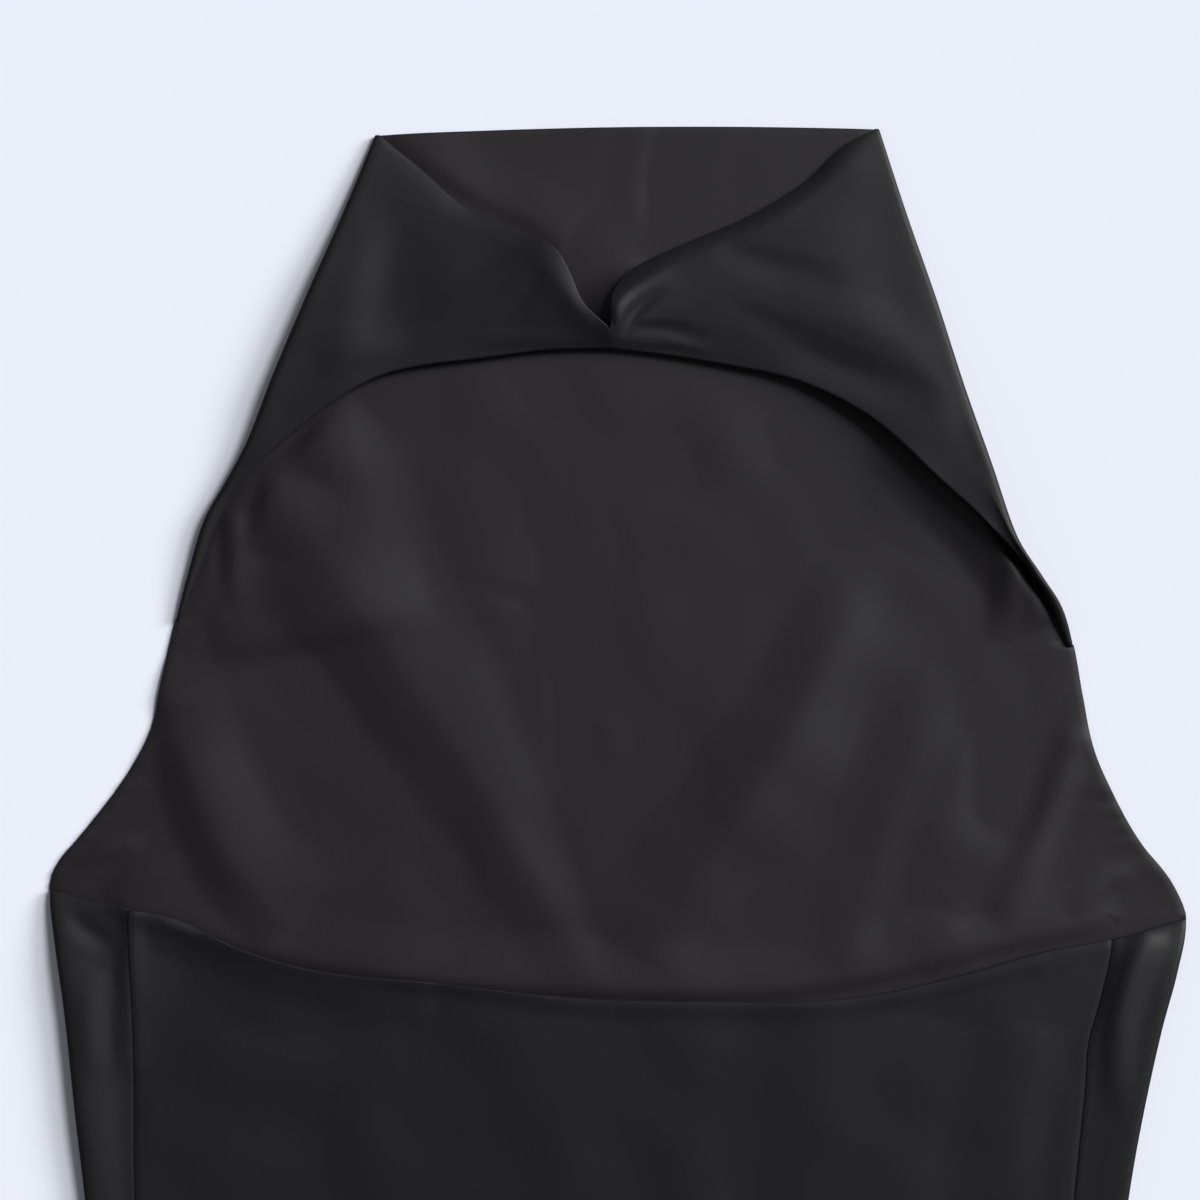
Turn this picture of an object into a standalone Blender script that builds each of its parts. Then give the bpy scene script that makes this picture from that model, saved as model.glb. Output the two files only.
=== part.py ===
"""Halter neck dress laid flat on its front, with its open back up.

Units are metres. The dress lies on the plane z = 0 with its neck towards +Y and its left side at
-X. Heights along the dress are measured from the neck, where y is 0 and every lower place is
negative, and the finished points are then moved, so that the origin is the middle of the box
that holds the dress, at the level of the floor.

The front is one cloth. It lies on the floor, turns over at both sides and comes back on top as a
narrow strip that reaches the side seam. At the neck it turns over too, and its two halter ends
run over the shoulders to the knot at the middle of the back. The back is the second cloth, from
its curved upper edge to the hem. Every sheet below is the outer face of the cloth, and Solidify
gives it its thickness inwards.
"""

from collections import namedtuple

import bpy
import numpy as np

# Driving sizes.
CLOTH = 0.0012
SEAM_GAP = 0.0003
HEM_Y = -1.1471
HEM_DIP = 0.006
UPPER_ROW_STEP = 0.0108
SKIRT_ROW_STEP = 0.046
SKIRT_TOP_Y = -0.400
FLOOR_COLUMNS = 38
HALTER_COLUMNS = 18
STRIP_COLUMNS = 3
BACK_COLUMNS = 22
TURN_STEPS = 4
TURN_DEPTH = 0.0024
SATIN_COLOUR = (0.018, 0.017, 0.020, 1.0)
SATIN_ROUGHNESS = 0.46

# The outline, a row for each height: where the left and the right side are, how high the cloth
# stands where it turns over there (0 at the free edge of an armhole), and how far the middle of
# the row bows up towards the neck.
Station = namedtuple("Station", "left_y left_x left_turn right_y right_x right_turn bow")
STATIONS = (
    Station(-0.0029, -0.0932, 0.0031, 0.0029, 0.0932, 0.0031, 0.0020),
    Station(-0.0340, -0.1053, 0.0064, -0.0280, 0.1038, 0.0048, 0.0010),
    Station(-0.0640, -0.1177, 0.0088, -0.0600, 0.1155, 0.0066, 0.0),
    Station(-0.0910, -0.1285, 0.0088, -0.0920, 0.1262, 0.0096, 0.0),
    Station(-0.1190, -0.1391, 0.0072, -0.1220, 0.1371, 0.0124, 0.0),
    Station(-0.1320, -0.1459, 0.0062, -0.1460, 0.1460, 0.0122, 0.0),
    Station(-0.1450, -0.1530, 0.0060, -0.1600, 0.1555, 0.0096, 0.0),
    Station(-0.1640, -0.1586, 0.0048, -0.1720, 0.1637, 0.0066, 0.0),
    Station(-0.1830, -0.1632, 0.0031, -0.1860, 0.1683, 0.0031, 0.0),
    Station(-0.2050, -0.1678, 0.0, -0.2060, 0.1723, 0.0, 0.0),
    Station(-0.2250, -0.1719, 0.0, -0.2240, 0.1764, 0.0, 0.0),
    Station(-0.2430, -0.1815, 0.0, -0.2410, 0.1841, 0.0, 0.0),
    Station(-0.2620, -0.1955, 0.0, -0.2590, 0.1948, 0.0, 0.0),
    Station(-0.2750, -0.2056, 0.0, -0.2740, 0.2069, 0.0, 0.0),
    Station(-0.2841, -0.2078, 0.0034, -0.2868, 0.2120, 0.0036, 0.0),
    Station(-0.3020, -0.2055, 0.0064, -0.3050, 0.2090, 0.0062, 0.0),
    Station(-0.3250, -0.2017, 0.0076, -0.3270, 0.2035, 0.0066, 0.0),
    Station(-0.3660, -0.1965, 0.0076, -0.3680, 0.1956, 0.0064, 0.0),
    Station(-0.4000, -0.1920, 0.0066, -0.4000, 0.1912, 0.0062, 0.0),
    Station(-0.4400, -0.1880, 0.0060, -0.4400, 0.1880, 0.0060, 0.0),
    Station(-0.5200, -0.2010, 0.0060, -0.5200, 0.2010, 0.0060, 0.0),
    Station(-0.6400, -0.2290, 0.0060, -0.6400, 0.2290, 0.0060, 0.0),
    Station(-0.8000, -0.2390, 0.0058, -0.8000, 0.2390, 0.0058, 0.0),
    Station(-0.9600, -0.2450, 0.0056, -0.9600, 0.2450, 0.0056, 0.0),
    Station(HEM_Y + HEM_DIP, -0.2500, 0.0054, HEM_Y + HEM_DIP, 0.2500, 0.0054, -HEM_DIP),
)
NECK, TURN_END, UNDERARM = 0, 8, 14

# The side seams on the back, a row for each height: how far each seam lies inside its side.
Seam = namedtuple("Seam", "y left_inset right_inset")
SEAMS = (
    Seam(-0.2841, 0.0300, 0.0275),
    Seam(-0.3200, 0.0265, 0.0275),
    Seam(-0.3460, 0.0242, 0.0240),
    Seam(-0.3980, 0.0190, 0.0198),
    Seam(-0.4400, 0.0180, 0.0190),
    Seam(-0.6400, 0.0180, 0.0185),
    Seam(HEM_Y, 0.0180, 0.0180),
)

# The plan of each halter end. The neck edge runs from the corner of the neck to the knot, and
# the arch edge from the end of the turned side to the knot, where both ends are sewn together.
Place = namedtuple("Place", "x y")
LEFT_NECK_EDGE = (
    Place(-0.0760, -0.0150),
    Place(-0.0600, -0.0283),
    Place(-0.0400, -0.0368),
    Place(-0.0255, -0.0440),
    Place(-0.0205, -0.0520),
    Place(-0.0150, -0.0636),
)
LEFT_ARCH_EDGE = (
    Place(-0.1545, -0.1640),
    Place(-0.1470, -0.1440),
    Place(-0.1345, -0.1255),
    Place(-0.1189, -0.1108),
    Place(-0.1010, -0.0974),
    Place(-0.0895, -0.0912),
    Place(-0.0760, -0.0875),
    Place(-0.0528, -0.0841),
    Place(-0.0280, -0.0805),
)
RIGHT_NECK_EDGE = (
    Place(0.0800, -0.0035),
    Place(0.0673, -0.0161),
    Place(0.0468, -0.0294),
    Place(0.0197, -0.0418),
    Place(0.0039, -0.0499),
    Place(-0.0024, -0.0560),
    Place(-0.0046, -0.0630),
)
RIGHT_ARCH_EDGE = (
    Place(0.1590, -0.1700),
    Place(0.1500, -0.1570),
    Place(0.1341, -0.1403),
    Place(0.1179, -0.1261),
    Place(0.0915, -0.1030),
    Place(0.0661, -0.0905),
    Place(0.0349, -0.0841),
    Place(0.0138, -0.0812),
)
KNOT = (Place(-0.0047, -0.0735), Place(-0.0042, -0.0795))

# How far the two long edges of each halter end stand clear of the front below, a row for each
# share of the way from the turned side to the knot.
Clearance = namedtuple("Clearance", "along neck_edge arch_edge")
LEFT_CLEARANCE = (
    Clearance(0.00, 0.0007, 0.0007),
    Clearance(0.06, 0.0007, 0.0012),
    Clearance(0.13, 0.0008, 0.0026),
    Clearance(0.20, 0.0011, 0.0042),
    Clearance(0.27, 0.0016, 0.0046),
    Clearance(0.36, 0.0020, 0.0044),
    Clearance(0.46, 0.0032, 0.0038),
    Clearance(0.60, 0.0052, 0.0033),
    Clearance(0.72, 0.0062, 0.0030),
    Clearance(0.86, 0.0066, 0.0030),
    Clearance(1.00, 0.0076, 0.0036),
)
RIGHT_CLEARANCE = (
    Clearance(0.00, 0.0007, 0.0007),
    Clearance(0.05, 0.0014, 0.0036),
    Clearance(0.10, 0.0019, 0.0066),
    Clearance(0.17, 0.0024, 0.0096),
    Clearance(0.24, 0.0028, 0.0100),
    Clearance(0.37, 0.0030, 0.0068),
    Clearance(0.50, 0.0030, 0.0046),
    Clearance(0.66, 0.0032, 0.0034),
    Clearance(0.78, 0.0038, 0.0030),
    Clearance(0.86, 0.0060, 0.0030),
    Clearance(0.93, 0.0094, 0.0032),
    Clearance(1.00, 0.0076, 0.0036),
)

# The upper edge of the back between its seams, as a share of the way across.
Edge = namedtuple("Edge", "across y")
BACK_EDGE = (
    Edge(0.000, -0.2903),
    Edge(0.050, -0.2935),
    Edge(0.105, -0.3030),
    Edge(0.180, -0.3108),
    Edge(0.300, -0.3150),
    Edge(0.500, -0.3204),
    Edge(0.620, -0.3204),
    Edge(0.750, -0.3173),
    Edge(0.850, -0.3085),
    Edge(0.930, -0.2996),
    Edge(1.000, -0.2945),
)

# Soft folds, a row for each: its ends and the bend between them, its height and half its width.
Fold = namedtuple("Fold", "x0 y0 x1 y1 x2 y2 height half_width")
FRONT_FOLDS = (
    Fold(-0.006, -0.310, -0.052, -0.232, -0.127, -0.130, 0.0042, 0.027),
    Fold(-0.120, -0.292, -0.160, -0.252, -0.165, -0.204, 0.0032, 0.019),
    Fold(0.013, -0.304, 0.056, -0.236, 0.098, -0.158, 0.0036, 0.022),
    Fold(0.088, -0.303, 0.096, -0.262, 0.118, -0.200, 0.0026, 0.017),
    Fold(0.149, -0.292, 0.156, -0.256, 0.164, -0.220, 0.0022, 0.013),
    Fold(-0.152, -0.197, -0.108, -0.189, -0.056, -0.191, -0.0020, 0.013),
)
HALTER_FOLDS = (
    Fold(-0.002, -0.068, 0.040, -0.050, 0.088, -0.046, 0.0022, 0.015),
    Fold(0.002, -0.077, 0.050, -0.070, 0.104, -0.088, 0.0020, 0.015),
    Fold(-0.010, -0.075, -0.045, -0.060, -0.088, -0.066, 0.0014, 0.017),
)
BACK_FOLDS = (
    Fold(-0.150, -0.312, -0.120, -0.340, -0.080, -0.352, 0.0012, 0.022),
    Fold(0.100, -0.330, 0.135, -0.372, 0.120, -0.440, 0.0014, 0.028),
    Fold(-0.110, -0.560, -0.120, -0.820, -0.130, -1.120, 0.0026, 0.034),
    Fold(0.060, -0.620, 0.075, -0.860, 0.070, -1.130, 0.0028, 0.038),
    Fold(0.165, -0.700, 0.172, -0.900, 0.178, -1.120, 0.0020, 0.028),
)

# How the pieces settle on each other: the back stands clear of the front at its seams and in
# its middle, its rows level out within a stretch below its upper edge, and the folds of a halter
# end start within this share of its length.
BACK_CLEARANCE_AT_SEAM = 0.0026
BACK_CLEARANCE_IN_MIDDLE = 0.0012
ROWS_LEVEL_OUT_IN = 0.300
FOLDS_START_WITHIN = 0.18

# Fineness of the curves, how much wider than even the first steps along an arch edge are, how
# often a halter end is stretched, and how bluntly a fold fades at its ends.
CURVE_SAMPLES = 400
ARCH_HURRY = 0.7
STRETCH_ROUNDS = 600
FOLD_PIECES = 14
FOLD_FADE = 0.6


def smooth(knots, values, at):
    """A cubic through the values at rising knots, which never swings past its neighbours."""
    knots, values, at = (np.asarray(a, float) for a in (knots, values, at))
    step, rise = np.diff(knots), np.diff(values)
    slope = rise / step
    tangent = np.concatenate([slope[:1], (slope[1:] + slope[:-1]) / 2, slope[-1:]])
    turned = slope[1:] * slope[:-1] <= 0
    tangent[1:-1][turned] = 0
    least = 3 * np.minimum(np.abs(slope[1:]), np.abs(slope[:-1]))
    tangent[1:-1] = np.clip(tangent[1:-1], -least, least)
    k = np.clip(np.searchsorted(knots, at, side="right") - 1, 0, len(step) - 1)
    t = (at - knots[k]) / step[k]
    return (
        values[k] * (1 + 2 * t) * (1 - t) ** 2
        + values[k + 1] * t * t * (3 - 2 * t)
        + step[k] * t * (1 - t) * (tangent[k] * (1 - t) - tangent[k + 1] * t)
    )


def ease(t):
    """0 at 0 and 1 at 1, level at both ends."""
    t = np.clip(t, 0, 1)
    return t * t * (3 - 2 * t)


def along_curve(places, shares, hurry=0.0):
    """Points at these shares of a smooth curve through the places. Their shares of its length
    are larger where there is hurry, most of all at its start."""
    places = np.asarray(places, float)
    run = np.concatenate([[0], np.cumsum(np.linalg.norm(np.diff(places, axis=0), axis=1))])
    fine = np.linspace(0, run[-1], CURVE_SAMPLES)
    line = np.stack([smooth(run, places[:, axis], fine) for axis in (0, 1)], axis=1)
    length = np.concatenate([[0], np.cumsum(np.linalg.norm(np.diff(line, axis=0), axis=1))])
    at = shares * (1 + hurry * (1 - shares)) * length[-1]
    return np.stack([np.interp(at, length, line[:, axis]) for axis in (0, 1)], axis=-1)


def fold_height(folds, x, y):
    """The height that the folds add at each x, y. A fold is a ridge along a bent line, or a
    dent in a ridge where its height is negative. Its cross-section is one hump of a cosine, and
    it fades to nothing at both of its ends. Together they never go below nothing."""
    total = np.zeros_like(x)
    for fold in folds:
        t = np.linspace(0, 1, FOLD_PIECES + 1)
        line_x = fold.x0 * (1 - t) ** 2 + 2 * fold.x1 * t * (1 - t) + fold.x2 * t * t
        line_y = fold.y0 * (1 - t) ** 2 + 2 * fold.y1 * t * (1 - t) + fold.y2 * t * t
        nearest = np.full(x.shape, np.inf)
        share = np.zeros_like(x)
        for k in range(FOLD_PIECES):
            step_x, step_y = line_x[k + 1] - line_x[k], line_y[k + 1] - line_y[k]
            along = (x - line_x[k]) * step_x + (y - line_y[k]) * step_y
            along = np.clip(along / (step_x**2 + step_y**2), 0, 1)
            away = np.hypot(x - line_x[k] - along * step_x, y - line_y[k] - along * step_y)
            closer = away < nearest
            nearest = np.where(closer, away, nearest)
            share = np.where(closer, (k + along) / FOLD_PIECES, share)
        hump = 0.5 + 0.5 * np.cos(np.pi * np.minimum(nearest / fold.half_width, 1))
        total += fold.height * hump * np.sin(np.pi * share) ** FOLD_FADE
    return np.maximum(total, 0)


def station_rows():
    """The mesh rows: for each its place in the table of stations, which lies between two whole
    numbers where the row is between two stations."""
    rows = []
    for k in range(len(STATIONS) - 1):
        upper, lower = STATIONS[k], STATIONS[k + 1]
        step = UPPER_ROW_STEP if lower.left_y >= SKIRT_TOP_Y else SKIRT_ROW_STEP
        count = max(1, round((upper.left_y - lower.left_y) / step))
        rows.extend(k + np.arange(count) / count)
    return np.array([*rows, len(STATIONS) - 1.0])


def side_of(rows, side):
    """x, y and turn height of one side at the mesh rows."""
    drop = [-station.left_y for station in STATIONS]
    at = np.interp(rows, np.arange(len(STATIONS)), drop)
    x, y, turn = (
        smooth(drop, [getattr(station, f"{side}_{name}") for station in STATIONS], at)
        for name in ("x", "y", "turn")
    )
    armhole = (rows > TURN_END) & (rows < UNDERARM)
    return x, y, np.where(armhole, 0, turn)


def seam_inset(y, side):
    """How far the side seam lies inside the side at each height."""
    drop = [-seam.y for seam in SEAMS]
    insets = [getattr(seam, f"{side}_inset") for seam in SEAMS]
    return smooth(drop, insets, np.clip(-y, drop[0], drop[-1]))


def rows_below(edge_y, y):
    """The heights of the mesh rows of the back, and of the strips beside it: the first one
    follows the upper edge, and the next ones level out until they are straight across."""
    first = y[:1]
    return y + (edge_y - first) * (1 - ease((first - y) / ROWS_LEVEL_OUT_IN))


def back_top_height(across, x, y):
    """Height of the back's outer face, which sinks from its seams to the middle."""
    sides = np.abs(2 * across - 1) ** 4
    clearance = BACK_CLEARANCE_IN_MIDDLE + sides * (
        BACK_CLEARANCE_AT_SEAM - BACK_CLEARANCE_IN_MIDDLE
    )
    return 2 * CLOTH + clearance + fold_height(BACK_FOLDS, x, y)


class Sheet:
    """An open surface that is put together from grids of points which share their edges."""

    def __init__(self):
        self.points = []
        self.faces = []

    def add_grid(self, points, first=None, last=None, turned=False):
        """Adds a grid of rows and columns, and returns the numbers of its points. Its first
        and its last column can each be one that another grid already has."""
        rows, columns = points.shape[:2]
        own = slice(0 if first is None else 1, columns if last is None else columns - 1)
        count = own.stop - own.start
        numbers = np.zeros((rows, columns), int)
        numbers[:, own] = len(self.points) + np.arange(rows * count).reshape(rows, count)
        if first is not None:
            numbers[:, 0] = first
        if last is not None:
            numbers[:, -1] = last
        self.points.extend(points[:, own].reshape(-1, 3).tolist())
        corners = (numbers[:-1, :-1], numbers[1:, :-1], numbers[1:, 1:], numbers[:-1, 1:])
        faces = np.stack(corners, axis=-1).reshape(-1, 4)
        self.faces.extend((faces[:, ::-1] if turned else faces).tolist())
        return numbers


def stretched(grid):
    """The grid with its inner points moved, until it lies as a cloth that is stretched evenly
    between its outer points: its lines don't cross in plan, and it has no dents or bulges.

    Each round is one of Winslow's elliptic smoothing: an inner point becomes the mean of its
    neighbours, those along a row weighted by the squared plan step down a column and those down
    a column by the squared plan step along a row, less the twist."""
    grid = grid.copy()
    for _ in range(STRETCH_ROUNDS):
        along = (grid[1:-1, 2:] - grid[1:-1, :-2])[..., :2] / 2
        down = (grid[2:, 1:-1] - grid[:-2, 1:-1])[..., :2] / 2
        twist = (grid[2:, 2:] - grid[:-2, 2:] - grid[2:, :-2] + grid[:-2, :-2]) / 4
        row_weight = (down**2).sum(axis=-1, keepdims=True)
        column_weight = (along**2).sum(axis=-1, keepdims=True)
        slant = (along * down).sum(axis=-1, keepdims=True)
        total = row_weight * (grid[1:-1, 2:] + grid[1:-1, :-2])
        total = total + column_weight * (grid[2:, 1:-1] + grid[:-2, 1:-1]) - 2 * slant * twist
        grid[1:-1, 1:-1] = total / (2 * (row_weight + column_weight))
    return grid


def turn_depth(turn):
    """How far inside the outline a side of some height has turned over."""
    return np.minimum(turn / 2, TURN_DEPTH)


def turn_columns(x, y, turn, side_sign):
    """The half round by which the cloth turns over at a side, as columns from the floor up."""
    angle = np.pi * np.arange(TURN_STEPS + 1) / TURN_STEPS
    depth = turn_depth(turn)[:, None]
    return np.stack(
        [
            x[:, None] - side_sign * depth * (1 - np.sin(angle)),
            np.repeat(y[:, None], TURN_STEPS + 1, axis=1),
            turn[:, None] / 2 * (1 - np.cos(angle)),
        ],
        axis=-1,
    )


def floor_grid(rows):
    """The front where it lies on the floor, from the neck to the hem."""
    left_x, left_y, left_turn = side_of(rows, "left")
    right_x, right_y, right_turn = side_of(rows, "right")
    drop = [-station.left_y for station in STATIONS]
    at = np.interp(rows, np.arange(len(STATIONS)), drop)
    bow = smooth(drop, [station.bow for station in STATIONS], at)
    share = np.linspace(0, 1, FLOOR_COLUMNS + 1)[None, :]
    start = (left_x + turn_depth(left_turn))[:, None]
    end = (right_x - turn_depth(right_turn))[:, None]
    x = start + (end - start) * share
    y = left_y[:, None] * (1 - share) + right_y[:, None] * share
    y = y + bow[:, None] * 4 * share * (1 - share)
    return np.stack([x, y, fold_height(FRONT_FOLDS, x, y)], axis=-1)


def halter_grid(turn_edge, turn, neck_edge, arch_edge, clearances):
    """A halter end on top, stretched between the turned side, its two long edges and the short
    edge at the knot. It starts as a Coons patch between the four."""
    share = np.linspace(0, 1, HALTER_COLUMNS + 1)
    along = [row.along for row in clearances]
    neck_height, arch_height = (
        2 * CLOTH + smooth(along, [getattr(row, name) for row in clearances], share)
        for name in ("neck_edge", "arch_edge")
    )
    neck = along_curve([turn_edge[0], *neck_edge, KNOT[0]], share)
    arch = along_curve([turn_edge[-1], *arch_edge, KNOT[1]], share, ARCH_HURRY)
    neck = np.column_stack([neck, neck_height])[None]
    arch = np.column_stack([arch, arch_height])[None]
    run = np.concatenate([[0], np.cumsum(np.linalg.norm(np.diff(turn_edge, axis=0), axis=1))])
    u, v = share[None, :, None], (run / run[-1])[:, None, None]
    side = np.column_stack([turn_edge, turn])[:, None]
    knot = neck[:, -1:] * (1 - v) + arch[:, -1:] * v
    corners = (1 - u) * ((1 - v) * side[:1] + v * side[-1:]) + u * knot
    patch = (1 - v) * neck + v * arch + (1 - u) * side + u * knot - corners
    patch[0], patch[-1] = neck, arch
    patch = stretched(patch)
    x, y = patch[..., 0], patch[..., 1]
    starting = ease(share / FOLDS_START_WITHIN)[None, :]
    patch[..., 2] += fold_height(FRONT_FOLDS + HALTER_FOLDS, x, y) * starting
    return patch


def strip_grid(turn_edge, turn, side, side_sign):
    """The front's narrow strip on top, from the turned side to half a gap from the seam."""
    share = np.linspace(0, 1, STRIP_COLUMNS + 1)[None, :]
    y = turn_edge[:, 1]
    outline_x = turn_edge[:, 0] + side_sign * turn_depth(turn)
    seam_x = outline_x - side_sign * (seam_inset(y, side) - SEAM_GAP / 2)
    seam_y = rows_below(BACK_EDGE[0].y if side == "left" else BACK_EDGE[-1].y, y)
    x = turn_edge[:, :1] * (1 - share) + seam_x[:, None] * share
    y = y[:, None] * (1 - share) + seam_y[:, None] * share
    at_seam = back_top_height(float(side == "right"), x, y)
    height = turn[:, None] * (1 - ease(share)) + at_seam * ease(share)
    return np.stack([x, y, height], axis=-1)


def front_sheet():
    """The whole front: floor, turned sides, halter ends and seam strips."""
    rows = station_rows()
    floor = floor_grid(rows)
    sheet = Sheet()
    numbers = sheet.add_grid(floor, turned=True)
    halter = rows <= TURN_END
    strip = rows >= UNDERARM
    sides = (
        ("left", -1, 0, LEFT_NECK_EDGE, LEFT_ARCH_EDGE, LEFT_CLEARANCE),
        ("right", 1, -1, RIGHT_NECK_EDGE, RIGHT_ARCH_EDGE, RIGHT_CLEARANCE),
    )
    knot = None
    for side, sign, column, neck_edge, arch_edge, clearances in sides:
        x, y, turn = side_of(rows, side)
        turned = turn_columns(x, y, turn, sign)
        edge = turned[:, -1, :2]
        top = halter_grid(edge[halter], turn[halter], neck_edge, arch_edge, clearances)
        grid = np.concatenate([turned[halter], top[:, 1:]], axis=1)
        own = sheet.add_grid(grid, numbers[halter, column], knot, turned=sign > 0)
        knot = own[:, -1]
        top = strip_grid(edge[strip], turn[strip], side, sign)
        grid = np.concatenate([turned[strip], top[:, 1:]], axis=1)
        sheet.add_grid(grid, numbers[strip, column], turned=sign > 0)
    return sheet


def back_sheet():
    """The back, from its curved upper edge to the hem, between the two side seams."""
    rows = station_rows()
    rows = rows[rows >= UNDERARM]
    left_x, left_y, _ = side_of(rows, "left")
    right_x, right_y, _ = side_of(rows, "right")
    share = np.linspace(0, 1, BACK_COLUMNS + 1)[None, :]
    start = left_x + seam_inset(left_y, "left") + SEAM_GAP / 2
    end = right_x - seam_inset(right_y, "right") - SEAM_GAP / 2
    x = start[:, None] * (1 - share) + end[:, None] * share
    edge = smooth([row.across for row in BACK_EDGE], [row.y for row in BACK_EDGE], share)
    level = left_y[:, None] * (1 - share) + right_y[:, None] * share
    down = (level[:1] - level) / (level[:1] - level[-1:])
    y = rows_below(edge, level) - HEM_DIP * 4 * share * (1 - share) * down**4
    sheet = Sheet()
    sheet.add_grid(np.stack([x, y, back_top_height(share, x, y)], axis=-1))
    return sheet


def satin(name):
    """Black satin."""
    material = bpy.data.materials.new(name)
    material.use_nodes = True
    shader = material.node_tree.nodes["Principled BSDF"]
    shader.inputs["Base Color"].default_value = SATIN_COLOUR
    shader.inputs["Roughness"].default_value = SATIN_ROUGHNESS
    shader.inputs["Metallic"].default_value = 0.0
    return material


def cloth_object(name, sheet, middle_y, collection):
    """An object for one cut piece, with the cloth's thickness added inwards."""
    mesh = bpy.data.meshes.new(name)
    points = [(x, y - middle_y, z) for x, y, z in sheet.points]
    mesh.from_pydata(points, [], sheet.faces)
    mesh.shade_smooth()
    mesh.materials.append(satin(name + "_satin"))
    piece = bpy.data.objects.new(name, mesh)
    collection.objects.link(piece)
    wall = piece.modifiers.new("cloth_thickness", "SOLIDIFY")
    wall.thickness = CLOTH
    wall.offset = -1.0
    return piece


def main():
    """Clears the scene and makes the dress."""
    for item in list(bpy.data.objects):
        bpy.data.objects.remove(item)
    collection = bpy.data.collections.new("halter_neck_dress")
    bpy.context.scene.collection.children.link(collection)
    top_y = max(STATIONS[NECK].left_y, STATIONS[NECK].right_y)
    middle_y = (top_y + HEM_Y) / 2
    cloth_object("front", front_sheet(), middle_y, collection)
    cloth_object("back", back_sheet(), middle_y, collection)


main()
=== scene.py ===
"""Looks of a black satin halter neck dress that lies flat on its front, with its open back up.

Plan places are in millimetres on the dress: x to the right of its middle line, y upwards from the
neck, so that lower places are negative. They become metres in the row frame when a surface is
built. Heights are above the surface that the dress lies on.
"""

from __future__ import annotations

import logging
import math
from dataclasses import dataclass
from enum import Enum

import bpy
import numpy as np
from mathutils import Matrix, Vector
from numpy.typing import ArrayLike


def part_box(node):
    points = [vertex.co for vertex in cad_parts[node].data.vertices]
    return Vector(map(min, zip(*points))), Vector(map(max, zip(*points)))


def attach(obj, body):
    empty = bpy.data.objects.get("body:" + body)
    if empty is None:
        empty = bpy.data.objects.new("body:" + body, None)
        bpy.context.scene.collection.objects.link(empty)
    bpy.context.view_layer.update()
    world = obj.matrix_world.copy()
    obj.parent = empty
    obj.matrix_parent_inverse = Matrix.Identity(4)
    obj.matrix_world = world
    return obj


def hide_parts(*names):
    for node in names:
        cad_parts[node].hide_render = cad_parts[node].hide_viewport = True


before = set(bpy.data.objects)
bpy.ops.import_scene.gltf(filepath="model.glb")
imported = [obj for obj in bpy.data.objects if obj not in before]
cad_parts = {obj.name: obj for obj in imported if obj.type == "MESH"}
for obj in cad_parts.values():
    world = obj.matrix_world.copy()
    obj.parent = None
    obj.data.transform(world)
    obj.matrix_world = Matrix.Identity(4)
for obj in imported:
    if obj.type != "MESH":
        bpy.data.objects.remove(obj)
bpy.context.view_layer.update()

LOG = logging.getLogger("halter_neck_dress")
MM = 0.001
BODY = "root"

# Cloth and how its layers lie on each other, in millimetres.
SOLID_WALL = 1.2
CLOTH = 0.9
FLOOR_LIFT = 0.15
HEM_Y = -1147.1
HEM_DIP = 6.0
SEAM_GAP = 0.3
LAYER_GAP = 0.5

# How much of a slope's width its crest and its foot are rounded by.
CREST_ROUND = 0.16
FOOT_ROUND = 0.14

# Points along a crease, and how much finer a curve is measured than it is given out.
PATH_POINTS = 80
MEASURED_FINER = 12

# The extra row beside a place where the outline changes, and the least step to other rows.
CLOSE_ROW = 0.3
LEAST_ROW_STEP = 0.8

# What a length or a height is at least when something is divided by it.
TINY = 1e-12


class Side(Enum):
    """The two sides of the dress as the photograph shows them."""

    LEFT = -1
    RIGHT = 1

    @property
    def key(self) -> str:
        """The name that the tables use for this side."""
        return self.name.lower()


@dataclass(frozen=True)
class Station:
    """The outline at one height: each side's place, how high the cloth stands where it turns
    over there (0 at a free edge), and how far the row's middle bows up to the neck."""

    left_y: float
    left_x: float
    left_turn: float
    right_y: float
    right_x: float
    right_turn: float
    bow: float = 0.0


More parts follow.
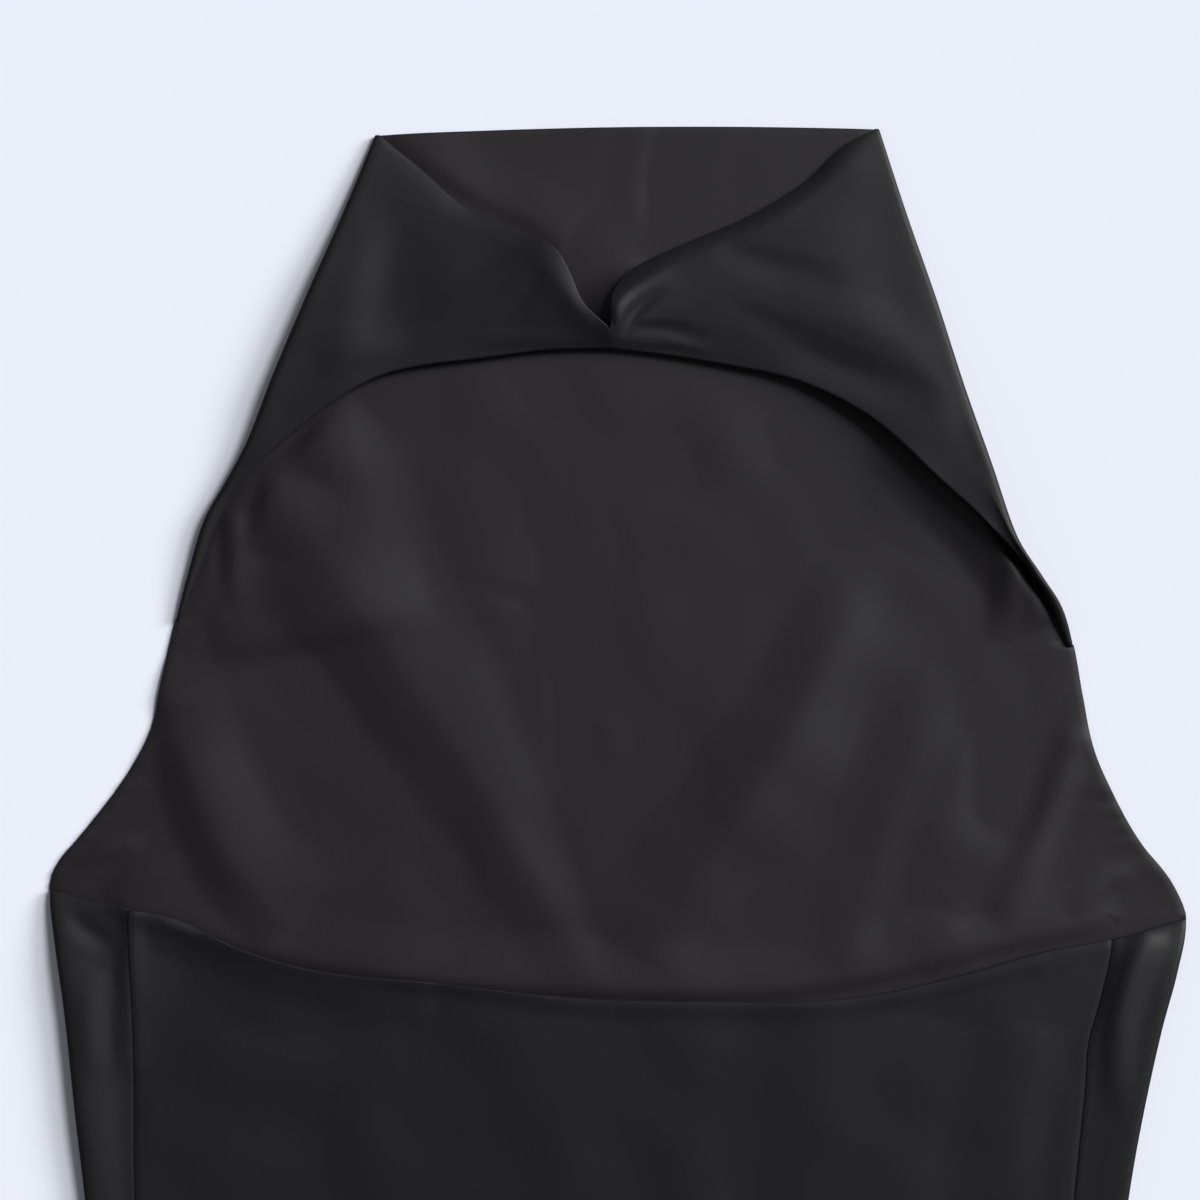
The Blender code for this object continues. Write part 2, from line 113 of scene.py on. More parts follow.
STATIONS = (
    Station(-2.9, -93.2, 3.1, 2.9, 93.2, 3.1, 2.0),
    Station(-34.0, -105.3, 6.4, -28.0, 103.8, 4.8, 1.0),
    Station(-64.0, -117.7, 8.8, -60.0, 115.5, 6.6),
    Station(-91.0, -128.5, 8.8, -92.0, 126.2, 9.6),
    Station(-119.0, -139.1, 7.2, -122.0, 137.1, 12.4),
    Station(-132.0, -145.9, 6.2, -146.0, 146.0, 12.2),
    Station(-145.0, -153.0, 6.0, -160.0, 155.5, 9.6),
    Station(-164.0, -158.6, 4.8, -172.0, 163.7, 6.6),
    Station(-183.0, -163.2, 3.1, -186.0, 168.3, 3.1),
    Station(-205.0, -167.8, 0.0, -206.0, 172.3, 0.0),
    Station(-225.0, -171.9, 0.0, -224.0, 176.4, 0.0),
    Station(-243.0, -181.5, 0.0, -241.0, 184.1, 0.0),
    Station(-262.0, -195.5, 0.0, -259.0, 194.8, 0.0),
    Station(-275.0, -205.6, 0.0, -274.0, 206.9, 0.0),
    Station(-284.1, -207.8, 3.4, -286.8, 212.0, 3.6),
    Station(-302.0, -205.5, 6.4, -305.0, 209.0, 6.2),
    Station(-325.0, -201.7, 7.6, -327.0, 203.5, 6.6),
    Station(-366.0, -196.5, 7.6, -368.0, 195.6, 6.4),
    Station(-400.0, -192.0, 6.6, -400.0, 191.2, 6.2),
    Station(-440.0, -188.0, 6.0, -440.0, 188.0, 6.0),
    Station(-520.0, -201.0, 6.0, -520.0, 201.0, 6.0),
    Station(-640.0, -229.0, 6.0, -640.0, 229.0, 6.0),
    Station(-800.0, -239.0, 5.8, -800.0, 239.0, 5.8),
    Station(-960.0, -245.0, 5.6, -960.0, 245.0, 5.6),
    Station(HEM_Y + HEM_DIP, -250.0, 5.4, HEM_Y + HEM_DIP, 250.0, 5.4, -HEM_DIP),
)
TURN_END = 8
UNDERARM = 14


@dataclass(frozen=True)
class Seam:
    """How far the side seams lie inside the outline at one height."""

    y: float
    left_inset: float
    right_inset: float


SEAMS = (
    Seam(-284.1, 30.0, 27.5),
    Seam(-320.0, 26.5, 27.5),
    Seam(-346.0, 24.2, 24.0),
    Seam(-398.0, 19.0, 19.8),
    Seam(-440.0, 18.0, 19.0),
    Seam(-640.0, 18.0, 18.5),
    Seam(HEM_Y, 18.0, 18.0),
)


@dataclass(frozen=True)
class Clearance:
    """How far the two long edges of a halter end stand clear of the front, at one share of its
    length."""

    along: float
    neck_edge: float
    arch_edge: float


@dataclass(frozen=True)
class HalterEnd:
    """One halter end: the plan of its two long edges, and how it stands on the front."""

    side: Side
    neck_edge: tuple[tuple[float, float], ...]
    arch_edge: tuple[tuple[float, float], ...]
    clearances: tuple[Clearance, ...]
    neck_drop: float


KNOT = ((-4.7, -73.5), (-4.2, -79.5))
HALTER_ENDS = (
    HalterEnd(
        Side.LEFT,
        ((-76.0, -15.0), (-60.0, -28.3), (-40.0, -36.8), (-25.5, -44.0), (-20.5, -52.0),
         (-15.0, -63.6)),
        ((-154.5, -164.0), (-147.0, -144.0), (-134.5, -125.5), (-118.9, -110.8),
         (-101.0, -97.4), (-89.5, -91.2), (-76.0, -87.5), (-52.8, -84.1), (-28.0, -80.5)),
        (
            Clearance(0.00, 0.7, 0.7),
            Clearance(0.06, 0.7, 1.2),
            Clearance(0.13, 0.8, 2.6),
            Clearance(0.20, 1.1, 4.2),
            Clearance(0.27, 1.6, 4.6),
            Clearance(0.36, 2.0, 4.4),
            Clearance(0.46, 3.2, 3.8),
            Clearance(0.60, 5.2, 3.3),
            Clearance(0.72, 6.2, 3.0),
            Clearance(0.86, 6.6, 3.0),
            Clearance(1.00, 7.6, 3.6),
        ),
        0.6,
    ),
    HalterEnd(
        Side.RIGHT,
        ((80.0, -3.5), (67.3, -16.1), (46.8, -29.4), (19.7, -41.8), (3.9, -49.9),
         (-2.4, -56.0), (-4.6, -63.0)),
        ((159.0, -170.0), (150.0, -157.0), (134.1, -140.3), (117.9, -126.1),
         (91.5, -103.0), (66.1, -90.5), (34.9, -84.1), (13.8, -81.2)),
        (
            Clearance(0.00, 0.7, 0.7),
            Clearance(0.05, 1.4, 3.6),
            Clearance(0.10, 1.9, 6.6),
            Clearance(0.17, 2.4, 9.6),
            Clearance(0.24, 2.8, 10.0),
            Clearance(0.37, 3.0, 6.8),
            Clearance(0.50, 3.0, 4.6),
            Clearance(0.66, 3.2, 3.4),
            Clearance(0.78, 3.8, 3.0),
            Clearance(0.86, 6.0, 3.0),
            Clearance(0.93, 9.4, 3.2),
            Clearance(1.00, 7.6, 3.6),
        ),
        1.8,
    ),
)

# The upper edge of the back between its seams: the share of the way across, and y.
BACK_EDGE = (
    (0.000, -290.3), (0.050, -293.5), (0.105, -303.0), (0.180, -310.8), (0.300, -315.0),
    (0.500, -320.4), (0.620, -320.4), (0.750, -317.3), (0.850, -308.5), (0.930, -299.6),
    (1.000, -294.5),
)

# How far the back stands clear of the front, and how far below its edge its rows run level.
BACK_CLEARANCE_AT_SEAM = 2.6
BACK_CLEARANCE_IN_MIDDLE = 1.2
ROWS_LEVEL_OUT_IN = 300.0


@dataclass(frozen=True)
class Crease:
    """A soft ridge, or a trough where its rise is negative, along a bent path.

    The path runs up the dress, or from left to right where it lies across it, so that left and
    right of the path are the photograph's left and right, or its upper and lower side. Rise and
    widths are given at the path's start and at its end. Crisp is how near its cross-section
    comes to two flat slopes, and fade how bluntly it ends."""

    path: tuple[tuple[float, float], ...]
    rise: tuple[float, float]
    left: tuple[float, float]
    right: tuple[float, float]
    crisp: float = 0.3
    fade: float = 0.6


FRONT_CREASES = (
    Crease(((-4, -316), (-17, -297), (-45, -250), (-78, -200), (-104, -165), (-130, -124)),
           (1.0, 3.8), (16, 34), (8, 52), 0.85, 0.5),
    Crease(((-150, -191), (-130, -188), (-108, -183), (-70, -174)),
           (2.6, 1.1), (34, 30), (13, 12), 0.15, 0.8),
    Crease(((-118, -296), (-143, -270), (-157, -240), (-165, -215), (-168, -198)),
           (3.2, 2.0), (18, 10), (28, 24), 0.7, 0.5),
    Crease(((12, -306), (40, -260), (62, -228), (80, -190), (100, -150)),
           (3.4, 2.5), (36, 19), (15, 34), 0.8, 0.8),
    Crease(((86, -308), (95, -275), (104, -240), (120, -196)),
           (1.3, 0.9), (20, 24), (11, 16), 0.8, 0.8),
    Crease(((134, -262), (142, -222), (150, -186)), (-0.9, -1.1), (12, 12), (12, 12), 0.2, 1.2),
    Crease(((142, -288), (152, -270), (160, -250), (168, -226), (171, -210)),
           (1.5, 1.3), (10, 9), (10, 8), 0.5),
    Crease(((-184, -289), (-160, -296), (-128, -305), (-84, -312), (-20, -316), (40, -316),
            (100, -308), (140, -297), (186, -287)), (1.2, 1.2), (22, 20), (5, 5), 0.3, 0.2),
    Crease(((-90, 0), (-71, -13), (-54, -24), (-36, -32), (-22, -41)),
           (0.8, 0.8), (20, 18), (5, 5), 0.3, 0.3),
    Crease(((2, -34), (4, -14), (6, 6)), (0.3, 0.3), (11, 11), (8, 8), 0.3),
    Crease(((-37, -146), (-16, -149), (3, -148)), (-0.45, -0.45), (5, 5), (9, 8)),
    Crease(((-54, -168), (-34, -172), (-16, -171)), (-0.35, -0.35), (6, 5), (9, 9)),
    Crease(((-14, -244), (-17, -208), (-12, -176)), (-0.6, -0.5), (12, 10), (16, 14)),
    Crease(((-142, -178), (-143, -160), (-143, -142)), (0.7, 2.2), (5, 4), (15, 12), 0.4, 0.7),
    Crease(((-133, -158), (-130, -143), (-126, -128)), (1.4, 1.9), (7, 7), (26, 26), 0.2, 0.9),
    Crease(((-119, -125), (-109, -112), (-96, -102)), (1.5, 0.6), (7, 7), (36, 36), 0.1, 1.0),
    Crease(((141, -184), (144, -166), (145, -148)), (0.8, 2.4), (8, 8), (8, 8), 0.5),
    Crease(((108, -289), (117, -284), (126, -282)), (-0.4, -0.3), (6, 5), (6, 6)),
    Crease(((127, -291), (136, -286), (146, -282)), (-0.4, -0.3), (6, 5), (7, 6)),
    Crease(((-199, -276), (-188, -268), (-174, -265)), (0.8, 1.0), (5, 4), (6, 7), 0.5),
    Crease(((-188, -284), (-172, -277), (-158, -270)), (0.7, 0.7), (5, 5), (7, 7), 0.4),
    Crease(((170, -284), (182, -273), (196, -268)), (0.9, 1.1), (7, 5), (6, 6), 0.5),
)
HOLLOW_CREASES = (
    Crease(((-2, -76), (0, -66), (6, -60), (24, -58)), (3.6, 3.6), (24, 6), (8, 8), 0.4, 0.5),
    Crease(((163, -176), (153, -159), (137, -141), (119, -125), (98, -108)),
           (5.2, 1.8), (22, 16), (7, 7), 0.2, 0.6),
)
LEFT_CREASES = (
    Crease(((-8, -76), (-17, -66), (-25, -56), (-32, -44)), (0.4, 0.4), (6, 9), (5, 7), 0.2, 0.8),
    Crease(((-112, -90), (-98, -83), (-80, -80)), (0.9, 0.8), (16, 14), (10, 9), 0.2, 1.0),
    Crease(((-93, -94), (-87, -62), (-80, -28)), (-0.8, -1.2), (15, 14), (24, 26), 0.2, 0.8),
    Crease(((-60, -79), (-32, -77), (-10, -77)), (0.35, 0.35), (6, 5), (4, 4), 0.2, 1.0),
    Crease(((-46, -72), (-36, -62), (-30, -52)), (-0.3, -0.3), (7, 7), (6, 5), 0.2),
    Crease(((-8, -76), (-18, -62), (-34, -38)), (1.0, 1.6), (46, 52), (20, 20), 0.2, 0.8),
)
RIGHT_CREASES = (
    Crease(((-4, -72), (-1, -63), (6, -57), (18, -50)), (0.5, 0.6), (4, 6), (6, 9), 0.2, 0.8),
    Crease(((0, -76), (3, -68), (8, -62), (14, -57)), (-1.2, -0.8), (3.5, 4.5), (3.5, 5), 0.2, 0.8),
    Crease(((3, -72.5), (14, -72), (30, -75)), (-0.7, -0.5), (3.5, 4.5), (3.5, 4.5), 0.3),
    Crease(((0, -77.5), (14, -77.5), (34, -80)), (0.4, 0.4), (3.5, 4), (3, 3), 0.2, 1.0),
    Crease(((34, -42), (58, -49), (80, -53)), (-0.7, -0.6), (7, 8), (9, 11), 0.2),
    Crease(((38, -63), (56, -70), (74, -76)), (-0.4, -0.35), (6, 6), (8, 8), 0.2),
    Crease(((45, -72), (80, -85), (98, -91), (120, -98)),
           (-0.9, -1.5), (9, 10), (11, 12), 0.3, 1.1),
    Crease(((60, -63), (90, -71), (112, -81)), (0.5, 0.6), (14, 14), (10, 10), 0.2),
)
BACK_CREASES = (
    Crease(((-168, -295), (-145, -300), (-120, -308), (-96, -313), (-66, -315)),
           (1.6, 2.2), (3, 3), (12, 20), 0.4, 0.4),
    Crease(((-120, -308), (-60, -315), (0, -320.4), (60, -320), (110, -314), (160, -301)),
           (0.7, 0.7), (3, 3), (7, 7), 0.3, 0.2),
    Crease(((-180, -350), (-179, -320), (-178, -286)), (0.8, 1.2), (3, 3), (22, 24), 0.4, 0.3),
    Crease(((-150, -338), (-112, -346), (-76, -342)), (0.5, 0.4), (12, 12), (26, 24), 0.2),
    Crease(((148, -402), (150, -366), (158, -326)), (0.9, 0.9), (26, 24), (15, 14), 0.2),
    Crease(((-84, -410), (-92, -380), (-88, -350)), (0.4, 0.4), (16, 16), (18, 16), 0.2),
    Crease(((36, -420), (30, -380), (40, -344)), (0.4, 0.4), (22, 22), (18, 18), 0.2),
    Crease(((112, -430), (114, -380), (122, -326)), (1.0, 1.0), (64, 60), (46, 40), 0.2),
    Crease(((-130, -1130), (-122, -900), (-112, -640), (-108, -540)),
           (2.4, 1.6), (36, 30), (30, 24), 0.2),
    Crease(((70, -1134), (76, -900), (64, -640), (58, -560)),
           (2.6, 1.6), (40, 32), (36, 30), 0.2),
    Crease(((182, -1130), (176, -900), (166, -700)), (1.8, 1.2), (30, 26), (28, 24), 0.2),
    Crease(((-30, -1120), (-24, -960), (-34, -780)), (1.4, 0.8), (28, 24), (32, 26), 0.2),
)
STRIP_CREASES = (
    Crease(((187, -356), (186, -340), (187, -322), (192, -304), (200, -290)),
           (0.8, 3.4), (7, 8), (9, 10), 0.4, 0.4),
    Crease(((-190, -352), (-192, -330), (-190, -312)), (0.5, 0.5), (7, 7), (8, 8), 0.3),
    Crease(((-200, -292), (-193, -298), (-184, -303)), (-0.8, -0.8), (5, 5), (6, 6), 0.3),
)


def ease(t: np.ndarray) -> np.ndarray:
    """Rises from 0 at 0 to 1 at 1, level at both ends: t squared times (3 - 2t)."""
    t = np.clip(t, 0, 1)
    return t * t * (3 - 2 * t)


def smooth(knots: ArrayLike, values: ArrayLike, at: ArrayLike) -> np.ndarray:
    """A cubic through the values at rising knots, which never swings past its neighbours.

    Args:
        knots: where the values stand, rising.
        values: the values there.
        at: where the curve is asked for.

    Returns:
        The Hermite cubic between each two knots, with the mean of the two neighbouring slopes
        as its tangent, cut down to three times the smaller one and to 0 at a turning point.
    """
    knots, values, at = (np.asarray(a, float) for a in (knots, values, at))
    step, rise = np.diff(knots), np.diff(values)
    slope = rise / step
    tangent = np.concatenate([slope[:1], (slope[1:] + slope[:-1]) / 2, slope[-1:]])
    tangent[1:-1][slope[1:] * slope[:-1] <= 0] = 0
    least = 3 * np.minimum(np.abs(slope[1:]), np.abs(slope[:-1]))
    tangent[1:-1] = np.clip(tangent[1:-1], -least, least)
    k = np.clip(np.searchsorted(knots, at, side="right") - 1, 0, len(step) - 1)
    t = (at - knots[k]) / step[k]
    return (
        values[k] * (1 + 2 * t) * (1 - t) ** 2
        + values[k + 1] * t * t * (3 - 2 * t)
        + step[k] * t * (1 - t) * (tangent[k] * (1 - t) - tangent[k + 1] * t)
    )


def curve_through(places: ArrayLike, count: int, hurry: float = 0.0) -> np.ndarray:
    """Points on a smooth curve through the places.

    Args:
        places: the plan points that the curve goes through.
        count: how many points it gives.
        hurry: how much wider than even the first steps are.

    Returns:
        The points. The share of the length that each one has run is its share of the count,
        times one plus hurry times what is left of the count.
    """
    places = np.asarray(places, float)
    run = np.concatenate([[0], np.cumsum(np.linalg.norm(np.diff(places, axis=0), axis=1))])
    fine = np.linspace(0, run[-1], MEASURED_FINER * count)
    line = np.stack([smooth(run, places[:, axis], fine) for axis in (0, 1)], axis=1)
    length = np.concatenate([[0], np.cumsum(np.linalg.norm(np.diff(line, axis=0), axis=1))])
    share = np.linspace(0, 1, count)
    at = length[-1] * share * (1 + hurry * (1 - share))
    return np.stack([np.interp(at, length, line[:, axis]) for axis in (0, 1)], axis=-1)


def stretch(grid: np.ndarray, rounds: int) -> np.ndarray:
    """Moves the inner points of a grid until it lies as a cloth that is stretched evenly between
    its outer points, with no lines that cross in plan and no dents or bulges in height.

    Args:
        grid: the grid's points, whose outer ones stay.
        rounds: how often the inner points are moved.

    Returns:
        The grid after so many rounds of Winslow's elliptic smoothing: each inner point becomes
        the mean of its neighbours, those along a row weighted by the squared plan step down a
        column and those down a column by the squared plan step along a row, less the twist.
    """
    grid = grid.copy()
    for _ in range(rounds):
        along = (grid[1:-1, 2:] - grid[1:-1, :-2])[..., :2] / 2
        down = (grid[2:, 1:-1] - grid[:-2, 1:-1])[..., :2] / 2
        twist = (grid[2:, 2:] - grid[:-2, 2:] - grid[2:, :-2] + grid[:-2, :-2]) / 4
        row_weight = (down**2).sum(axis=-1, keepdims=True)
        column_weight = (along**2).sum(axis=-1, keepdims=True)
        turn = (along * down).sum(axis=-1, keepdims=True)
        total = row_weight * (grid[1:-1, 2:] + grid[1:-1, :-2])
        total = total + column_weight * (grid[2:, 1:-1] + grid[:-2, 1:-1]) - 2 * turn * twist
        grid[1:-1, 1:-1] = total / (2 * (row_weight + column_weight))
    return grid


def slopes(q: np.ndarray) -> np.ndarray:
    """Two flat slopes with a rounded crest and foot: 1 at the crest and 0 at the foot.

    Args:
        q: how far each point is from the crest, as a share of the slope's width.

    Returns:
        One minus the rounded distance, less what an exponential takes off near the foot.
    """
    crest = (np.sqrt(q * q + CREST_ROUND**2) - CREST_ROUND) / (
        math.sqrt(1 + CREST_ROUND**2) - CREST_ROUND
    )
    rest = 1 - crest
    full = 1 - FOOT_ROUND * (1 - math.exp(-1 / FOOT_ROUND))
    return (rest - FOOT_ROUND * (1 - np.exp(-rest / FOOT_ROUND))) / full


def relief(creases: tuple[Crease, ...], x: np.ndarray, y: np.ndarray) -> np.ndarray:
    """The height that a set of creases adds at each place.

    Args:
        creases: the creases.
        x: plan x of each point, in millimetres.
        y: plan y of each point, in millimetres.

    Returns:
        For each crease its rise times a hump across it, which is a blend of a smoothstep and of
        two flat slopes, times a fade to nothing at both ends of its path.
    """
    total = np.zeros_like(x)
    for crease in creases:
        path = curve_through(crease.path, PATH_POINTS)
        reach = max(*crease.left, *crease.right)
        low, high = path.min(axis=0) - reach, path.max(axis=0) + reach
        near = (x > low[0]) & (x < high[0]) & (y > low[1]) & (y < high[1])
        if not near.any():
            continue
        px, py = x[near], y[near]
        start, step = path[:-1], np.diff(path, axis=0)
        off_x, off_y = px[:, None] - start[:, 0], py[:, None] - start[:, 1]
        t = (off_x * step[:, 0] + off_y * step[:, 1]) / (step**2).sum(axis=1)
        t = np.clip(t, 0, 1)
        away = np.hypot(off_x - t * step[:, 0], off_y - t * step[:, 1])
        k = away.argmin(axis=1)
        row = np.arange(len(px))
        distance, share = away[row, k], (k + t[row, k]) / len(step)
        is_left = step[k, 0] * off_y[row, k] - step[k, 1] * off_x[row, k] > 0
        width = np.where(
            is_left,
            crease.left[0] + (crease.left[1] - crease.left[0]) * share,
            crease.right[0] + (crease.right[1] - crease.right[0]) * share,
        )
        q = np.minimum(distance / width, 1)
        hump = (1 - crease.crisp) * (1 - ease(q)) + crease.crisp * slopes(q)
        rise = crease.rise[0] + (crease.rise[1] - crease.rise[0]) * share
        fade = np.clip(np.sin(np.pi * np.clip(share, 0, 1)), 0, 1) ** crease.fade
        total[near] += rise * hump * fade
    return total


@dataclass(frozen=True)
class Unevenness:
    """Slight waves that keep any stretch of laid cloth from being a true plane."""

    height: float = 0.09
    shortest: float = 26.0
    longest: float = 110.0
    waves: int = 36
    seed: int = 11

    def at(self, x: np.ndarray, y: np.ndarray) -> np.ndarray:
        """The sum of sine waves of random direction and phase, longer ones higher.

        Args:
            x: plan x of each point, in millimetres.
            y: plan y of each point, in millimetres.

        Returns:
            The height that they add.
        """
        rng = np.random.default_rng(self.seed)
        length = np.exp(rng.uniform(np.log(self.shortest), np.log(self.longest), self.waves))
        angle = rng.uniform(0, np.pi, self.waves)
        phase = rng.uniform(0, 2 * np.pi, self.waves)
        total = np.zeros_like(x)
        for wave, turn, start in zip(length, angle, phase):
            along = x * np.cos(turn) + y * np.sin(turn)
            total += wave / self.longest * np.sin(2 * np.pi * along / wave + start)
        return self.height * total


WAVES = Unevenness()


class DressPlan:
    """The outline of the laid dress as rows of a grid, from the neck to the hem."""

    def __init__(self, steps: tuple[tuple[float, float], ...]) -> None:
        """Sets the rows.

        Args:
            steps: from which y downwards a row step holds, and that step.
        """
        self.drops = np.array([-station.left_y for station in STATIONS])
        drop, rows = self.drops[0], []
        starts = [-start for start, _ in steps]
        while drop < self.drops[-1]:
            rows.append(drop)
            drop += steps[np.searchsorted(starts, drop, side="right") - 1][1]
        turn_end, underarm = self.drops[TURN_END], self.drops[UNDERARM]
        marks = [turn_end, turn_end + CLOSE_ROW, underarm - CLOSE_ROW, underarm, self.drops[-1]]
        rows = [
            row for row in rows if min(abs(row - mark) for mark in marks) > LEAST_ROW_STEP
        ]
        self.drop = np.sort(np.array(rows + marks))
        self.halter = self.drop <= self.drops[TURN_END]
        self.strip = self.drop >= self.drops[UNDERARM]
        self.bow = smooth(self.drops, [station.bow for station in STATIONS], self.drop)

    def side(self, side: Side) -> tuple[np.ndarray, np.ndarray, np.ndarray]:
        """One side of the outline at each row.

        Args:
            side: which side.

        Returns:
            Its x, its y, and how high the cloth stands where it turns over there, which is
            nothing between the halter end and the underarm.
        """
        x, y, turn = (
            smooth(self.drops, [getattr(s, f"{side.key}_{name}") for s in STATIONS], self.drop)
            for name in ("x", "y", "turn")
        )
        return x, y, np.where(self.halter | self.strip, turn, 0.0)


def seam_inset(y: np.ndarray, side: Side) -> np.ndarray:
    """How far the side seam lies inside the outline.

    Args:
        y: the heights on the dress.
        side: which side.

    Returns:
        The inset at each height, a smooth curve through the table's rows.
    """
    drops = [-seam.y for seam in SEAMS]
    insets = [getattr(seam, f"{side.key}_inset") for seam in SEAMS]
    return smooth(drops, insets, np.clip(-y, drops[0], drops[-1]))


def rows_below(edge_y: ArrayLike, y: np.ndarray) -> np.ndarray:
    """Level rows y, plus the edge's distance from the first one, less a smoothstep's share."""
    return y + (edge_y - y[:1]) * (1 - ease((y[:1] - y) / ROWS_LEVEL_OUT_IN))


def back_height(across: np.ndarray, x: np.ndarray, y: np.ndarray) -> np.ndarray:
    """Height of the back's outer face.

    Args:
        across: the share of the way from the left seam to the right one.
        x: plan x of each point.
        y: plan y of each point.

    Returns:
        Two walls, plus a clearance that sinks from the seams to the middle by the fourth power
        of the distance from the middle, plus the creases of what lies below and the back's own.
    """
    sides = np.abs(2 * across - 1) ** 4
    clearance = BACK_CLEARANCE_IN_MIDDLE + sides * (
        BACK_CLEARANCE_AT_SEAM - BACK_CLEARANCE_IN_MIDDLE
    )
    return 2 * SOLID_WALL + clearance + relief(BACK_CREASES, x, y) + relief(FRONT_CREASES, x, y)


class ClothShell:
    """A closed thin wall that is put together from grids of points which share their edges."""

    def __init__(self, name: str, thickness: float, rim_steps: int = 4) -> None:
        """Sets an empty shell.

        Args:
            name: the piece's name.
            thickness: the wall's thickness in millimetres.
            rim_steps: into how many faces the round of a free edge is divided.
        """
        self.name = name
        self.thickness = thickness
        self.rim_steps = rim_steps
        self.points = np.zeros((0, 3))
        self.lay = np.zeros((0, 2))
        self.faces = np.zeros((0, 4), int)

    def add_grid(
        self,
        points: np.ndarray,
        lay: np.ndarray,
        first: np.ndarray | None = None,
        last: np.ndarray | None = None,
        turned: bool = False,
    ) -> np.ndarray:
        """Adds a grid of rows and columns.

        Args:
            points: the grid's points, in millimetres.
            lay: for each point its place on the flat cloth, which the weave follows.
            first: the numbers of points that already stand for its first column.
            last: the numbers of points that already stand for its last column.
            turned: whether its faces are turned over.

        Returns:
            The numbers of the grid's points.
        """
        rows, columns = points.shape[:2]
        own = slice(0 if first is None else 1, columns if last is None else columns - 1)
        count = own.stop - own.start
        numbers = np.zeros((rows, columns), int)
        numbers[:, own] = len(self.points) + np.arange(rows * count).reshape(rows, count)
        if first is not None:
            numbers[:, 0] = first
        if last is not None:
            numbers[:, -1] = last
        self.points = np.concatenate([self.points, points[:, own].reshape(-1, 3)])
        self.lay = np.concatenate([self.lay, lay[:, own].reshape(-1, 2)])
        corners = (numbers[:-1, :-1], numbers[1:, :-1], numbers[1:, 1:], numbers[:-1, 1:])
        faces = np.stack(corners, axis=-1).reshape(-1, 4)
        self.faces = np.concatenate([self.faces, faces[:, ::-1] if turned else faces])
        return numbers

    def normals(self) -> np.ndarray:
        """The unit normals.

        Returns:
            For each point the sum of the cross products of its faces' diagonals, made one long.
        """
        corner = self.points[self.faces]
        across = np.cross(corner[:, 2] - corner[:, 0], corner[:, 3] - corner[:, 1])
        total = np.zeros_like(self.points)
        for k in range(4):
            np.add.at(total, self.faces[:, k], across)
        return total / np.maximum(np.linalg.norm(total, axis=1, keepdims=True), TINY)

    def free_edges(self) -> np.ndarray:
        """The edges that only one face has.

        Returns:
            Two point numbers for each, in that face's direction.
        """
        ends = np.concatenate([self.faces[:, [k, (k + 1) % 4]] for k in range(4)])
        span = len(self.points)
        forward = ends[:, 0] * span + ends[:, 1]
        backward = ends[:, 1] * span + ends[:, 0]
        return ends[~np.isin(forward, backward)]

    def build(self, to_row: float) -> bpy.types.Object:
        """Closes the wall and makes its object.

        The inner face is the outer one moved back along its normals. The round of a free edge
        is a half circle about the wall's middle: its points are the middle plus half the
        thickness times (cosine times the normal plus sine times the way out of the cloth).

        Args:
            to_row: what is added to y to come from the dress to the row frame, in millimetres.

        Returns:
            The new object, whose place is in its mesh.
        """
        normal = self.normals()
        inner = self.points - self.thickness * normal
        count = len(self.points)
        ends = self.free_edges()
        rim = np.unique(ends)
        place = np.full(count, -1)
        place[rim] = np.arange(len(rim))
        along = self.points[ends[:, 1]] - self.points[ends[:, 0]]
        along /= np.maximum(np.linalg.norm(along, axis=1, keepdims=True), TINY)
        run = np.zeros((count, 3))
        np.add.at(run, ends[:, 0], along)
        np.add.at(run, ends[:, 1], along)
        out = np.cross(run[rim], normal[rim])
        out /= np.maximum(np.linalg.norm(out, axis=1, keepdims=True), TINY)
        middle = (self.points[rim] + inner[rim]) / 2
        rings, levels = [], [np.arange(count)]
        for k in range(1, self.rim_steps):
            angle = math.pi * k / self.rim_steps
            round_off = math.cos(angle) * normal[rim] + math.sin(angle) * out
            rings.append(middle + self.thickness / 2 * round_off)
            level = np.zeros(count, int)
            level[rim] = 2 * count + (k - 1) * len(rim) + place[rim]
            levels.append(level)
        levels.append(np.arange(count) + count)
        points = np.concatenate([self.points, inner, *rings])
        faces = [self.faces, self.faces[:, ::-1] + count]
        # Outer faces and rims get the first satin. Inner faces get the second one, which is the
        # same satin painted paler as painted light.
        satin_copy = [np.full(len(self.faces), 0), np.full(len(self.faces), 1)]
        for upper, lower in zip(levels[:-1], levels[1:]):
            a, b = ends[:, 0], ends[:, 1]
            faces.append(np.stack([upper[b], upper[a], lower[a], lower[b]], axis=1))
            satin_copy.append(np.full(len(ends), 0))
        faces = np.concatenate(faces)
        lay = np.concatenate([self.lay, self.lay, *[self.lay[rim]] * (self.rim_steps - 1)])
        points = (points + np.array([0, to_row, 0])) * MM
        piece = mesh_object(self.name, points, faces, lay * MM)
        piece.data.polygons.foreach_set("material_index", np.concatenate(satin_copy).astype(np.int32))
        return piece


def mesh_object(
    name: str, points: np.ndarray, faces: np.ndarray, lay: np.ndarray | None = None
) -> bpy.types.Object:
    """An object with a smooth mesh of quads.

    Args:
        name: the object's name.
        points: its points in metres, in the row frame.
        faces: four point numbers for each face.
        lay: a texture place in metres for each point, if it has one.

    Returns:
        The object, linked to the scene.
    """
    mesh = bpy.data.meshes.new(name)
    mesh.vertices.add(len(points))
    mesh.vertices.foreach_set("co", points.astype(np.float32).ravel())
    mesh.loops.add(faces.size)
    mesh.loops.foreach_set("vertex_index", faces.astype(np.int32).ravel())
    mesh.polygons.add(len(faces))
    mesh.polygons.foreach_set("loop_start", np.arange(0, faces.size, 4, dtype=np.int32))
    mesh.update(calc_edges=True)
    mesh.shade_smooth()
    if lay is not None:
        layer = mesh.uv_layers.new(name="cloth")
        layer.uv.foreach_set("vector", lay[faces.ravel()].astype(np.float32).ravel())
    mesh.validate()
    piece = bpy.data.objects.new(name, mesh)
    bpy.context.scene.collection.objects.link(piece)
    return piece


